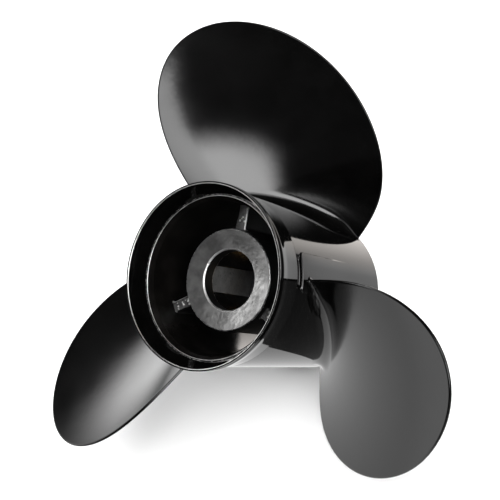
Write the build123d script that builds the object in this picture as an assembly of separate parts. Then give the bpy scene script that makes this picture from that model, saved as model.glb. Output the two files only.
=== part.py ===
# Three-blade through-hub-exhaust outboard propeller, 13 3/4 in diameter, right hand.
# Millimetres. The shaft axis is the Y axis: +Y points forward to the gearcase, -Y points aft.
# +Z is up and blade 1 points up. The origin is on the shaft axis, in the plane of the
# forward thrust face of the splined adapter.
# Lengths along the shaft are stations, measured forward from the aft lip. Names starting
# with R_ are radii, names ending in _AFT or _FORE are stations of a piece's two ends.
# Angles are in degrees, clockwise from +Z seen from aft.
from build123d import *
from math import sin, cos, tan, atan2, hypot, pi, radians, sqrt
import os

os.makedirs("parts", exist_ok=True)

S_ORIGIN = 129.5        # station of the origin
DIAMETER = 349.25
BLADE_COUNT = 3         # blades, and ribs carrying the barrel
BLADE_PITCH = 360 / BLADE_COUNT
CUT_OVERRUN = 1.0       # how far a cutting tool runs past the end it opens
FIT_GAP = 0.05          # running gap between pieces that move apart


# ---------------------------------------------------------------- helpers
def along(station):
    """Y coordinate of a station."""
    return station - S_ORIGIN


def profile_point(radius, station):
    """Point of a turned profile, drawn on the +X side of the shaft."""
    return Vector(radius, along(station), 0)


def polar(radius, angle, station):
    turn = radians(angle)
    return Vector(radius * sin(turn), along(station), radius * cos(turn))


def polygon(points):
    following = points[1:] + points[:1]
    return Wire([Edge.make_line(start, end) for start, end in zip(points, following)])


def ring_solid(profile, arc=360.0, start=0.0):
    """Revolve a closed (radius, station) profile about the shaft axis, clockwise from start."""
    outline = polygon([profile_point(radius, station) for radius, station in profile])
    body = Solid.revolve(Face(outline), arc, Axis.Y)
    # the profile lies towards +X, which is 90 degrees clockwise from +Z
    return body.rotate(Axis.Y, start - 90.0)


def rod(radius, aft, fore):
    return ring_solid([(0, aft), (radius, aft), (radius, fore), (0, fore)])


def turned(shape, angle):
    """Turn a shape clockwise seen from aft."""
    return shape.rotate(Axis.Y, angle)


# ---------------------------------------------------------------- outer hub barrel
BARREL_AFT = 12.7       # aft end face, inside the diffuser ring
BARREL_FORE = 140.5     # fore end face, against the gearcase
RING_SEAM = 25.2        # visible seam between ring and barrel
R_BARREL_AFT = 57.0     # outside radius at the seam
R_BARREL_FORE = 55.3    # outside radius at the fore end
SEAM_BEVEL = 0.35
R_SEAM_EDGE = R_BARREL_AFT - SEAM_BEVEL
FORE_BEVEL = 1.2
R_SPIGOT = 54.7         # reduced spigot that carries the pressed ring
SPIGOT_BEVEL = 0.4
R_BORE_AFT = 50.6       # inside radius behind the aft chamfer
BORE_AFT = BARREL_AFT + 4.0
R_BORE_MID = 49.6       # inside radius from mid length forward
BORE_MID = 60.0
R_EDGE = 52.8           # inside edge of the aft end face
R_SOCKET = 51.2         # machined socket over the gearcase outlet
SOCKET_AFT = BARREL_FORE - 10.5
SOCKET_BEVEL = 0.6

# Raised plain pad on the barrel
PAD_START, PAD_END = 71.5, 97.0     # degrees
PAD_AFT, PAD_FORE = 30.8, 93.0
PAD_HEIGHT_AFT = 1.0
PAD_HEIGHT_FORE = 0.25
PAD_EMBED = 1.5         # depth of the pad's underside below the barrel surface

# Coved relief between the ring's fore edge and the pad
RELIEF_START, RELIEF_END = 74.0, 94.0   # degrees
R_RELIEF = 55.0
R_RELIEF_CUT = 60.0     # clear of the barrel
RELIEF_AFT = RING_SEAM - 0.01
RELIEF_FORE = 30.4
RELIEF_COVE = 1.2


def outer_r(station):
    """Outside radius of the tapered barrel."""
    fraction = (station - RING_SEAM) / (BARREL_FORE - RING_SEAM)
    return R_BARREL_AFT + (R_BARREL_FORE - R_BARREL_AFT) * fraction


def make_pad():
    r_aft, r_fore = outer_r(PAD_AFT), outer_r(PAD_FORE)
    return ring_solid(
        [(r_aft - PAD_EMBED, PAD_AFT), (r_aft + PAD_HEIGHT_AFT, PAD_AFT),
         (r_fore + PAD_HEIGHT_FORE, PAD_FORE), (r_fore - PAD_EMBED, PAD_FORE)],
        PAD_END - PAD_START, PAD_START)


def make_relief():
    cove = []
    for degrees in range(0, 91, 15):
        angle = radians(degrees)
        cove.append((R_RELIEF + RELIEF_COVE * (1 - cos(angle)),
                     RELIEF_FORE - RELIEF_COVE + RELIEF_COVE * sin(angle)))
    return ring_solid(
        [(R_RELIEF, RELIEF_AFT), *cove, (R_RELIEF_CUT, RELIEF_FORE), (R_RELIEF_CUT, RELIEF_AFT)],
        RELIEF_END - RELIEF_START, RELIEF_START)


def make_hub_barrel(pad):
    seam_inner = RING_SEAM + SEAM_BEVEL
    fore_inner = BARREL_FORE - FORE_BEVEL
    barrel = ring_solid([
        (R_EDGE, BARREL_AFT), (R_SPIGOT - SPIGOT_BEVEL, BARREL_AFT),
        (R_SPIGOT, BARREL_AFT + SPIGOT_BEVEL), (R_SPIGOT, RING_SEAM),
        (R_SEAM_EDGE, RING_SEAM), (outer_r(seam_inner), seam_inner),
        (outer_r(fore_inner), fore_inner), (R_BARREL_FORE - FORE_BEVEL, BARREL_FORE),
        (R_SOCKET + SOCKET_BEVEL, BARREL_FORE), (R_SOCKET, BARREL_FORE - SOCKET_BEVEL),
        (R_SOCKET, SOCKET_AFT), (R_BORE_MID, SOCKET_AFT),
        (R_BORE_MID, BORE_MID), (R_BORE_AFT, BORE_AFT)])
    return (barrel + pad - make_relief()).clean()


def make_barrel_envelope(pad):
    """Barrel and pad filled to the axis, used to trim the blade roots."""
    return ring_solid([(0, RING_SEAM), (R_BARREL_AFT, RING_SEAM),
                       (R_BARREL_FORE, BARREL_FORE), (0, BARREL_FORE)]) + pad


# ---------------------------------------------------------------- diffuser ring
LIP_T = 1.6             # thickness of the lip
LIP_EDGE = 0.35         # rounding of the lip's two edges
LIP_ARC_INSET = 0.1     # inset of each rounding's mid point from the square corner
R_RING_STEP = 53.9      # bore of the ring's inner shoulder
RING_STEP_AFT = BARREL_AFT - 0.5
FLARE_STATIONS = (24.9, 21.0, 16.0, 11.0, 6.0, 2.5, LIP_EDGE)
FLARE_SLOPE = 0.085
FLARE_CURVE = 0.0022    # per mm


def flare_r(station):
    """Outside radius of the ring, widening aft from the seam."""
    distance = RING_SEAM - station
    return R_BARREL_AFT + FLARE_SLOPE * distance + FLARE_CURVE * distance * distance


def make_diffuser_ring():
    r_out = flare_r(LIP_EDGE)
    r_in = r_out - LIP_T
    seam_outer = profile_point(R_SEAM_EDGE, RING_SEAM)
    lip_outer = profile_point(r_out, LIP_EDGE)
    lip_inner = profile_point(r_in, LIP_EDGE)
    end_outer = profile_point(r_out - LIP_EDGE, 0)
    end_inner = profile_point(r_in + LIP_EDGE, 0)
    mid_outer = profile_point(r_out - LIP_ARC_INSET, LIP_ARC_INSET)
    mid_inner = profile_point(r_in + LIP_ARC_INSET, LIP_ARC_INSET)
    inside = [lip_inner, profile_point(R_RING_STEP, RING_STEP_AFT),
              profile_point(R_RING_STEP, BARREL_AFT), profile_point(R_SPIGOT, BARREL_AFT),
              profile_point(R_SPIGOT, RING_SEAM), seam_outer]
    flare = [profile_point(flare_r(station), station) for station in FLARE_STATIONS]
    outline = Wire([
        Edge.make_spline([seam_outer] + flare),
        Edge.make_three_point_arc(lip_outer, mid_outer, end_outer),
        Edge.make_line(end_outer, end_inner),
        Edge.make_three_point_arc(end_inner, mid_inner, lip_inner),
        *[Edge.make_line(start, end) for start, end in zip(inside, inside[1:])]])
    return Solid.revolve(Face(outline), 360, Axis.Y)


# ---------------------------------------------------------------- inner hub boss
BOSS_AFT = 30.2
BOSS_FORE = 126.0
R_BOSS_AFT = 33.75
R_BOSS_FORE = 34.8
BOSS_BEVEL = 1.0
BOSS_BEVEL_MID = 0.3    # inset of the bevel's middle point, aft end
R_AFT_HOLE = 20.0       # round hole through the aft wall
HOLE_BEVEL = 1.2
HOLE_BEVEL_MID = 0.35
AFT_WALL = 11.8
R_BOSS_CORE = 18.0      # bore of the blank, opened out by the cavity
CAVITY_AFT = BOSS_AFT + AFT_WALL
FLAT_AFT = 21.4         # half across flats of the octagonal cavity, aft end
CAVITY_DRAFT = 1.5      # degrees per side, opening forward
CAVITY_TURN = 4.3       # degrees
R_COUNTER = 27.6        # round counterbore for the sleeve's flange
COUNTER_AFT = 117.0     # floor of the counterbore
COUNTER_BEVEL = 0.5


def octagon(apothem, station):
    """Octagonal wire across the shaft, with one flat facing CAVITY_TURN past +Z."""
    r_corner = apothem / cos(pi / 8)
    return polygon([polar(r_corner, CAVITY_TURN + 22.5 + 45 * i, station) for i in range(8)])


def octagon_taper(aft, fore, gap=0.0):
    """Tapered octagonal plug that stands gap inside the cavity's walls."""
    draft = tan(radians(CAVITY_DRAFT))
    return Solid.make_loft(
        [octagon(FLAT_AFT + (station - CAVITY_AFT) * draft - gap, station)
         for station in (aft, fore)], True)


def make_inner_hub():
    boss = ring_solid([
        (R_AFT_HOLE + HOLE_BEVEL, BOSS_AFT), (R_BOSS_AFT - BOSS_BEVEL, BOSS_AFT),
        (R_BOSS_AFT - BOSS_BEVEL_MID, BOSS_AFT + BOSS_BEVEL_MID),
        (R_BOSS_AFT, BOSS_AFT + BOSS_BEVEL), (R_BOSS_FORE, BOSS_FORE - BOSS_BEVEL),
        (R_BOSS_FORE - BOSS_BEVEL, BOSS_FORE), (R_COUNTER + COUNTER_BEVEL, BOSS_FORE),
        (R_COUNTER, BOSS_FORE - COUNTER_BEVEL), (R_COUNTER, COUNTER_AFT),
        (R_BOSS_CORE, COUNTER_AFT), (R_BOSS_CORE, CAVITY_AFT), (R_AFT_HOLE, CAVITY_AFT),
        (R_AFT_HOLE, BOSS_AFT + HOLE_BEVEL),
        (R_AFT_HOLE + HOLE_BEVEL_MID, BOSS_AFT + HOLE_BEVEL_MID)])
    return boss - octagon_taper(CAVITY_AFT, COUNTER_AFT + 0.5)


# ---------------------------------------------------------------- ribs
RIB_T = 7.0
RIB_AFT = 35.5
RIB_FORE = 124.0
RIB_TURN = 7.5          # degrees
RIB_ROUND = 1.6         # rounding of the two aft edges
RIB_INNER, RIB_OUTER = 30.0, 54.0   # heights of the untrimmed block
GUSSET = 7.5
GUSSET_INSET = 3.0      # from each end of the rib
GUSSET_EMBED = 0.5      # overlap into the rib
R_SHELL_OUT = 60        # outside of the tool that trims at the barrel's bore


def make_rib(turn):
    length = RIB_FORE - RIB_AFT
    block = Box(RIB_T, length, RIB_OUTER - RIB_INNER)
    block = fillet(block.edges().filter_by(Axis.Z).sort_by(Axis.Y)[:2], RIB_ROUND)
    block = Pos(0, along((RIB_FORE + RIB_AFT) / 2), (RIB_INNER + RIB_OUTER) / 2) * block
    # gusset on the side that takes the drive, counter-clockwise seen from aft
    y = along(RIB_AFT + GUSSET_INSET)
    x = -RIB_T / 2 + GUSSET_EMBED
    triangle = polygon([Vector(x, y, RIB_INNER), Vector(-RIB_T / 2 - GUSSET, y, RIB_INNER),
                        Vector(x, y, R_BOSS_AFT + GUSSET)])
    gusset = Solid.extrude(Face(triangle), Vector(0, length - 2 * GUSSET_INSET, 0))
    body = block + gusset
    boss_space = ring_solid([(0, BOSS_AFT), (R_BOSS_AFT, BOSS_AFT + BOSS_BEVEL),
                             (R_BOSS_FORE, BOSS_FORE - BOSS_BEVEL), (0, BOSS_FORE)])
    shell = ring_solid([(R_BORE_AFT, BORE_AFT), (R_SHELL_OUT, BARREL_AFT),
                        (R_SHELL_OUT, BARREL_FORE), (R_BORE_MID, SOCKET_AFT),
                        (R_BORE_MID, BORE_MID)])
    return turned(body - boss_space - shell, turn)


# ---------------------------------------------------------------- blades
ROOT_R = 54.41
BLADE_EDGE_T = 2.0
BLADE_ROOT_T = 12.5
BLADE_TIP_T = 3.0
SPAN_POWER = 1.35       # how quickly the blade thins from root to tip
CHORD_POWER = 0.8       # how full the section is between its edges
SECTION_STEPS = 26
EDGE_BULGE = 0.9        # edge arc height over half the edge thickness

# Station of the aft (pressure) face: a helicoid of about 19 in mean pitch, raked aft.
# It is the sum of coefficient * angle^m * reach^n, with the angle in radians and
# reach = (radius - ROOT_R) / FACE_SPAN.
FACE_SPAN = 120.92
# coefficient, m, n
FACE_TERMS = [
    (80.09, 0, 0), (72.90, 1, 0), (11.19, 1, 1), (-60.33, 0, 1),
    (12.50, 0, 2), (-4.29, 2, 0), (4.42, 2, 1), (-5.96, 1, 2),
]
# Plan outline of blade 1 seen along the shaft: height, trailing edge x, leading edge x
PLAN = [
    (36.0, -21.56, 36.34), (40.0, -23.8, 40.67), (43.0, -25.51, 43.87),
    (46.0, -27.22, 46.99), (49.0, -28.94, 49.98), (52.0, -30.65, 52.81),
    (55.0, -32.34, 55.46), (58.0, -34.02, 57.9), (61.0, -35.67, 60.12),
    (64.0, -37.29, 62.1), (68.0, -39.38, 64.39), (73.0, -41.87, 66.67),
    (79.0, -44.66, 68.69), (86.0, -47.58, 70.2), (96.51, -51.22, 70.98),
    (106.87, -53.82, 70.17), (116.93, -55.26, 67.92), (126.56, -55.47, 64.34),
    (135.61, -54.43, 59.57), (143.96, -52.21, 53.77), (151.49, -48.86, 47.06),
    (158.1, -44.37, 39.61), (163.68, -38.8, 31.56), (168.17, -32.41, 23.07),
    (171.49, -25.42, 14.38), (173.6, -18.12, 5.92), (174.48, -12.45, -0.24),
]

# Concave fillet bead at the blade root
FILLET = 8.0
FILLET_END = 0.22       # fillet size at the blade's edges, as a share of FILLET
FILLET_RUNOUT = 0.22    # chord fraction over which the fillet grows to full size
FILLET_POWER = 0.8
BEAD_START, BEAD_SPAN = 0.035, 0.93     # chord fractions
BEAD_STEPS = 16
BEAD_PULL = 0.55        # handle length of the concave curve over its tangent length
BEAD_EMBED = 0.6        # overlap into the blade and the barrel
BEAD_CORNER_EMBED = 1.2


def face_station(x, height):
    radius, angle = hypot(x, height), atan2(x, height)
    reach = (radius - ROOT_R) / FACE_SPAN
    return sum(factor * angle ** m * reach ** n for factor, m, n in FACE_TERMS)


def thickness(chord, height):
    """Blade thickness, chord running from 0 at the trailing edge to 1 at the leading edge."""
    span = min(max((height - ROOT_R) / (DIAMETER / 2 - ROOT_R), 0.0), 1.0)
    middle = BLADE_TIP_T + (BLADE_ROOT_T - BLADE_TIP_T) * (1 - span) ** SPAN_POWER
    edge = min(BLADE_EDGE_T, middle)
    return edge + (middle - edge) * (4 * chord * (1 - chord)) ** CHORD_POWER


def section_point(chord, height, trailing, leading, fore):
    """Point on the aft or fore face of a section between its trailing and leading x."""
    x = trailing + (leading - trailing) * chord
    station = face_station(x, height)
    if fore:
        slope = (face_station(x + 0.05, height) - face_station(x - 0.05, height)) / 0.1
        norm = sqrt(1 + slope * slope)
        depth = thickness(chord, height)
        x, station = x - slope / norm * depth, station + depth / norm
    return Vector(x, along(station), height)


def edge_arc(start, end, side):
    """Arc closing a section's edge, bulging towards the given sign of x."""
    chord = end - start
    normal = Vector(chord.Y, -chord.X, 0).normalized()
    if normal.X * side < 0:
        normal = normal * -1
    crown = (start + end) * 0.5 + normal * (chord.length / 2 * EDGE_BULGE)
    return Edge.make_three_point_arc(start, crown, end)


def blade_section(height, trailing, leading):
    chords = [0.5 - 0.5 * cos(pi * i / SECTION_STEPS) for i in range(SECTION_STEPS + 1)]
    aft, fore = [[section_point(chord, height, trailing, leading, side) for chord in chords]
                 for side in (False, True)]
    return Wire([Edge.make_spline(aft, parameters=chords),
                 edge_arc(aft[-1], fore[-1], 1),
                 Edge.make_spline(fore, parameters=chords),
                 edge_arc(fore[0], aft[0], -1)])


def plan_at(height):
    """Trailing and leading edge x at a height."""
    for (h0, trail0, lead0), (h1, trail1, lead1) in zip(PLAN, PLAN[1:]):
        if height <= h1:
            part = (height - h0) / (h1 - h0)
            return trail0 + (trail1 - trail0) * part, lead0 + (lead1 - lead0) * part
    return PLAN[-1][1:]


def blade_point(chord, height, fore):
    return section_point(chord, height, *plan_at(height), fore)


def above_barrel(point):
    """Radial distance of a point outside the barrel."""
    station = min(max(point.Y + S_ORIGIN, RING_SEAM), BARREL_FORE)
    return hypot(point.X, point.Z) - outer_r(station)


def root_height(chord, fore):
    """Height at which a blade face meets the barrel, by bisection."""
    low, high = 36.5, 75.0
    for _ in range(40):
        middle = (low + high) / 2
        if above_barrel(blade_point(chord, middle, fore)) > 0:
            high = middle
        else:
            low = middle
    return (low + high) / 2


def without(vector, direction):
    """Unit vector along the part of a vector square to a unit direction."""
    return (vector - direction * vector.dot(direction)).normalized()


def bead_section(chord, fore):
    height = root_height(chord, fore)
    root = blade_point(chord, height, fore)
    chordwise = (blade_point(min(chord + 0.01, 1), height, fore)
                 - blade_point(max(chord - 0.01, 0), height, fore))
    spanwise = blade_point(chord, height + 0.3, fore) - blade_point(chord, height - 0.3, fore)
    normal = chordwise.cross(spanwise).normalized()
    if (normal.Y > 0) != fore:
        normal = normal * -1
    radial = Vector(root.X, 0, root.Z).normalized()
    over_barrel = without(normal, radial)
    up_blade = without(radial, normal)
    along_root = normal.cross(radial).normalized()

    grown = min(1.0, min(chord, 1 - chord) / FILLET_RUNOUT) ** FILLET_POWER
    size = FILLET * (FILLET_END + (1 - FILLET_END) * grown)
    reach = size / tan(radians(over_barrel.get_angle(up_blade)) / 2)
    foot = root + over_barrel * reach
    # settle the foot on the barrel's tapered surface
    for _ in range(30):
        foot = foot - radial * above_barrel(foot)
    top = root + up_blade * reach
    foot_radial = without(Vector(foot.X, 0, foot.Z).normalized(), along_root)
    foot_tangent = without(root - foot, foot_radial)
    pull = reach * BEAD_PULL
    buried = [top, top - normal * BEAD_EMBED,
              root - radial * BEAD_CORNER_EMBED - normal * BEAD_EMBED,
              foot - foot_radial * BEAD_EMBED, foot]
    return Wire([Edge.make_bezier(foot, foot + foot_tangent * pull, top - up_blade * pull, top),
                 *[Edge.make_line(start, end) for start, end in zip(buried, buried[1:])]])


def root_bead(fore):
    """Concave fillet bead along one side of the blade root, to be merged with the blade."""
    return Solid.make_loft([bead_section(BEAD_START + BEAD_SPAN * i / BEAD_STEPS, fore)
                            for i in range(BEAD_STEPS + 1)], False)


def make_blade_blank():
    """Blade 1 with its root beads, running on into the hub."""
    blade = Solid.make_loft([blade_section(*row) for row in PLAN], False)
    return blade + root_bead(False) + root_bead(True)


def make_blade(blank, envelope, turn):
    trimmed = turned(blank, turn) - envelope
    return max(trimmed.solids(), key=lambda solid: solid.volume)


# ---------------------------------------------------------------- exchangeable hub kit
SLEEVE_AFT = 92.0
SLEEVE_FORE = 125.5
R_FLANGE = R_COUNTER - 0.2
FLANGE_BEVEL_AFT = 0.5
FLANGE_BEVEL_FORE = 0.6
R_BUSH_OUT = 19.6
BUSH_BEVEL = 1.0
BUSH_END_GAP = 0.5      # from the sleeve's aft end and from the dogs
R_ADAPTER = 15.6
ADAPTER_AFT = 90.5
ADAPTER_FORE = S_ORIGIN
ADAPTER_BEVEL = 0.8
R_HEAD = R_BUSH_OUT - 0.6   # adapter outside radius from the dogs forward

DOG_COUNT = 4
DOG_PITCH = 360 / DOG_COUNT
DOG_FIRST = 45.0        # degrees, middle of the first dog
R_DOG = 24.4            # outside radius of the drive dogs
DOG_HALF = 13.0         # degrees, half width of a dog
DOG_AFT, DOG_FORE = 119.0, 125.0
DOG_BEVEL = 0.5
DOG_EMBED = 1           # overlap into the adapter
TWIST = 5.0             # degrees of cushion twist each way before the dogs meet
POCKET_HALF = DOG_HALF + TWIST + 0.6
R_POCKET_IN = R_BUSH_OUT - 2
R_POCKET_OUT = R_DOG + 0.35
POCKET_AFT = DOG_AFT - 0.3

TEETH = 15
R_SPLINE_MAJOR = 12.75
R_SPLINE_MINOR = 11.5
R_SPLINE_BLANK = R_SPLINE_MINOR - 1.5   # bore before the splines are cut
R_GROOVE_IN = R_SPLINE_MINOR - 0.6
GROOVE_HALF_MINOR = 5.6     # degrees, half width of a groove at the minor radius
GROOVE_HALF_MAJOR = 4.3     # degrees, at the major radius
R_PILOT = 13.0          # plain pilot bore at the forward end
PILOT_AFT = ADAPTER_FORE - 10.0


def dog_sector(profile, index, half_width):
    """Ring sector centred on one of the drive dogs."""
    return ring_solid(profile, 2 * half_width, DOG_FIRST + DOG_PITCH * index - half_width)


def make_drive_sleeve():
    taper = octagon_taper(SLEEVE_AFT, COUNTER_AFT + 0.3, FIT_GAP)
    r_inner = R_BUSH_OUT - 1
    flange = ring_solid([
        (r_inner, COUNTER_AFT + FIT_GAP), (R_FLANGE - FLANGE_BEVEL_AFT, COUNTER_AFT + FIT_GAP),
        (R_FLANGE, COUNTER_AFT + FLANGE_BEVEL_AFT), (R_FLANGE, SLEEVE_FORE - FLANGE_BEVEL_FORE),
        (R_FLANGE - FLANGE_BEVEL_FORE, SLEEVE_FORE), (r_inner, SLEEVE_FORE)])
    pocket_fore = SLEEVE_FORE + CUT_OVERRUN
    sleeve = (taper + flange) - rod(R_BUSH_OUT, SLEEVE_AFT - CUT_OVERRUN, pocket_fore)
    for i in range(DOG_COUNT):
        sleeve = sleeve - dog_sector(
            [(R_POCKET_IN, POCKET_AFT), (R_POCKET_OUT, POCKET_AFT),
             (R_POCKET_OUT, pocket_fore), (R_POCKET_IN, pocket_fore)], i, POCKET_HALF)
    return sleeve


def make_torsion_bush():
    r_inner = R_ADAPTER + FIT_GAP
    aft, fore = SLEEVE_AFT + BUSH_END_GAP, DOG_AFT - BUSH_END_GAP
    return ring_solid([
        (r_inner, aft), (R_BUSH_OUT - BUSH_BEVEL, aft), (R_BUSH_OUT, aft + BUSH_BEVEL),
        (R_BUSH_OUT, fore - BUSH_BEVEL), (R_BUSH_OUT - BUSH_BEVEL, fore), (r_inner, fore)])


def make_spline_core():
    """Clearance core of the splined bore, with a ridge for each groove."""
    aft = ADAPTER_AFT - CUT_OVERRUN
    core = rod(R_SPLINE_MINOR, aft, PILOT_AFT + 0.5)
    for i in range(TEETH):
        angle = 360.0 / TEETH * i
        foot_start = polar(R_GROOVE_IN, angle - GROOVE_HALF_MINOR, aft)
        crest_start = polar(R_SPLINE_MAJOR, angle - GROOVE_HALF_MAJOR, aft)
        crest_mid = polar(R_SPLINE_MAJOR, angle, aft)
        crest_end = polar(R_SPLINE_MAJOR, angle + GROOVE_HALF_MAJOR, aft)
        foot_end = polar(R_GROOVE_IN, angle + GROOVE_HALF_MINOR, aft)
        outline = Wire([Edge.make_line(foot_start, crest_start),
                        Edge.make_three_point_arc(crest_start, crest_mid, crest_end),
                        Edge.make_line(crest_end, foot_end),
                        Edge.make_line(foot_end, foot_start)])
        core = core + Solid.extrude(Face(outline), Vector(0, PILOT_AFT - aft, 0))
    return core


def make_spline_adapter():
    adapter = ring_solid([
        (R_SPLINE_BLANK, ADAPTER_AFT), (R_ADAPTER - ADAPTER_BEVEL, ADAPTER_AFT),
        (R_ADAPTER, ADAPTER_AFT + ADAPTER_BEVEL), (R_ADAPTER, DOG_AFT), (R_HEAD, DOG_AFT),
        (R_HEAD, ADAPTER_FORE - ADAPTER_BEVEL), (R_HEAD - ADAPTER_BEVEL, ADAPTER_FORE),
        (R_PILOT, ADAPTER_FORE), (R_PILOT, PILOT_AFT), (R_SPLINE_BLANK, PILOT_AFT)])
    r_inner = R_ADAPTER + DOG_EMBED
    for i in range(DOG_COUNT):
        adapter = adapter + dog_sector(
            [(r_inner, DOG_AFT), (R_DOG, DOG_AFT), (R_DOG, DOG_FORE - DOG_BEVEL),
             (R_DOG - DOG_BEVEL, DOG_FORE), (r_inner, DOG_FORE)], i, DOG_HALF)
    return adapter - make_spline_core()


# ---------------------------------------------------------------- write the parts
def write_part(name, shape):
    solids = shape.solids()
    part = solids[0] if len(solids) == 1 else Compound(children=list(solids))
    export_step(part, f"parts/{name}.step")


barrel_pad = make_pad()
write_part("hub_barrel", make_hub_barrel(barrel_pad))
write_part("diffuser_ring", make_diffuser_ring())
write_part("inner_hub", make_inner_hub())

barrel_envelope = make_barrel_envelope(barrel_pad)
blade_blank = make_blade_blank()
for i in range(BLADE_COUNT):
    write_part(f"hub_rib_{i + 1}", make_rib(RIB_TURN + BLADE_PITCH * i))
    write_part(f"blade_{i + 1}", make_blade(blade_blank, barrel_envelope, BLADE_PITCH * i))

write_part("drive_sleeve", make_drive_sleeve())
write_part("torsion_bush", make_torsion_bush())
write_part("spline_adapter", make_spline_adapter())
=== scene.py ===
"""A three-bladed black boat propeller with its exchangeable hub kit, resting on a pale floor.

Shapes are worked out in millimetres and built in metres. The shaft lies along Y. A station is
a distance forward (+Y) from the aft end of the diffuser ring, so y = station - ORIGIN_STATION.
Angles are in degrees clockwise from +Z, seen from aft. Blade 1 stands up along +Z.
"""
import bpy
import math
import numpy as np
from mathutils import Matrix, Vector
from mathutils.geometry import delaunay_2d_cdt


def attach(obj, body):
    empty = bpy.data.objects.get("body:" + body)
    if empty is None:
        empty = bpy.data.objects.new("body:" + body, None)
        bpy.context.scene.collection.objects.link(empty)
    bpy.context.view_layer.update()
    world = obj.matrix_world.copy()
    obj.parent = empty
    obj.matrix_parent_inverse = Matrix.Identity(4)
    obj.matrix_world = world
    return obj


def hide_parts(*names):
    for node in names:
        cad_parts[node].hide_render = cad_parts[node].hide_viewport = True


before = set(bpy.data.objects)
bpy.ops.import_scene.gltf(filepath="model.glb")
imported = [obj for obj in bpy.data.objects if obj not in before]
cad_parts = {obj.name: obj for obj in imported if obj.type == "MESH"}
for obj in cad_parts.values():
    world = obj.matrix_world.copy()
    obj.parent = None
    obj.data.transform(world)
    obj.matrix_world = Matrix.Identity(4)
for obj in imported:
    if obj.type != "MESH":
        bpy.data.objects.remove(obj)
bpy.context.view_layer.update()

SCENE = bpy.context.scene
MM = 0.001
ORIGIN_STATION = 129.5
THIRDS = (0.0, 120.0, 240.0)      # turns of the three blades, and of the ribs from the first rib


# ------------------------------------------------------------------ numbers and vectors


def smooth(x):
    """Smooth step from 0 to 1 while x goes from 0 to 1."""
    x = np.clip(x, 0.0, 1.0)
    return x * x * (3 - 2 * x)


def unit(vectors, least=0.0):
    """Vectors scaled to length 1; lengths below least count as least."""
    return vectors / np.maximum(np.linalg.norm(vectors, axis=-1, keepdims=True), least)


def turned(points, degrees):
    """Points turned about the shaft, clockwise seen from aft."""
    cos, sin = math.cos(math.radians(degrees)), math.sin(math.radians(degrees))
    x, y, z = points[..., 0], points[..., 1], points[..., 2]
    return np.stack([x * cos + z * sin, y, -x * sin + z * cos], -1)


def radial(points):
    """Unit vectors straight out from the shaft."""
    return unit(np.stack([points[:, 0], 0 * points[:, 0], points[:, 2]], -1))


def aranges(*ranges):
    """Several (start, stop, step) ranges in one array."""
    return np.concatenate([np.arange(*limits) for limits in ranges])


def blurred(values, passes):
    """Values on a closed loop, averaged with their neighbours."""
    for _ in range(passes):
        values = (np.roll(values, 1, 0) + 2 * values + np.roll(values, -1, 0)) / 4
    return values


def bisect(low, high, beyond):
    """Where beyond(value) turns true between low and high, for a whole array at once."""
    for _ in range(46):
        middle = (low + high) / 2
        past = beyond(middle)
        high, low = np.where(past, middle, high), np.where(past, low, middle)
    return (low + high) / 2


def noise2(u, v, cells_u, cells_v, seed):
    """Smooth periodic value noise in -1..1, repeating when u or v grows by 1."""
    grid = np.random.default_rng(seed).uniform(-1, 1, (cells_u, cells_v))
    x, y = np.asarray(u) * cells_u, np.asarray(v) * cells_v
    i, j = np.floor(x).astype(int), np.floor(y).astype(int)
    blend_x, blend_y = smooth(x - i), smooth(y - j)
    i0, i1, j0, j1 = i % cells_u, (i + 1) % cells_u, j % cells_v, (j + 1) % cells_v
    near = grid[i0, j0] * (1 - blend_x) + grid[i1, j0] * blend_x
    far = grid[i0, j1] * (1 - blend_x) + grid[i1, j1] * blend_x
    return near * (1 - blend_y) + far * blend_y


# ------------------------------------------------------------------ meshes


def by_corners(faces):
    """The triangles, then the quads, as index arrays."""
    for count in (3, 4):
        group = np.array([face for face in faces if len(face) == count], int).reshape(-1, count)
        if len(group):
            yield group


def vertex_normals(verts, faces):
    """Area weighted vertex normals."""
    normals = np.zeros_like(verts)
    for group in by_corners(faces):
        corner = [verts[column] for column in group.T]
        if len(corner) == 3:
            cross = np.cross(corner[1] - corner[0], corner[2] - corner[0])
        else:
            cross = np.cross(corner[2] - corner[0], corner[3] - corner[1])
        for column in group.T:
            np.add.at(normals, column, cross)
    return unit(normals, least=1e-12)


def outward(verts, faces):
    """Faces wound so that the closed mesh has a positive volume."""
    volume = 0.0
    for group in by_corners(faces):
        corner = [verts[column] for column in group.T]
        for i in range(1, len(corner) - 1):
            cross = np.cross(corner[i], corner[i + 1])
            volume += np.einsum("ij,ij->i", corner[0], cross).sum() / 6
    return [tuple(reversed(face)) for face in faces] if volume < 0 else faces


def weld(verts, faces):
    """Merge equal vertices. Also returns the new index of every old vertex."""
    key = np.round(verts / 1e-5).astype(np.int64)
    _, first, new_index = np.unique(key, axis=0, return_index=True, return_inverse=True)
    new_index = new_index.ravel()
    welded = []
    for face in faces:
        corners = list(dict.fromkeys(int(new_index[i]) for i in face))
        if len(corners) > 2:
            welded.append(tuple(corners))
    return verts[first], welded, new_index


def loft_faces(row_count, size):
    """Quads between successive closed rows of size vertices."""
    faces = []
    for i in range(row_count - 1):
        for j in range(size):
            k = (j + 1) % size
            faces.append((i * size + j, i * size + k, (i + 1) * size + k, (i + 1) * size + j))
    return faces


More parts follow.
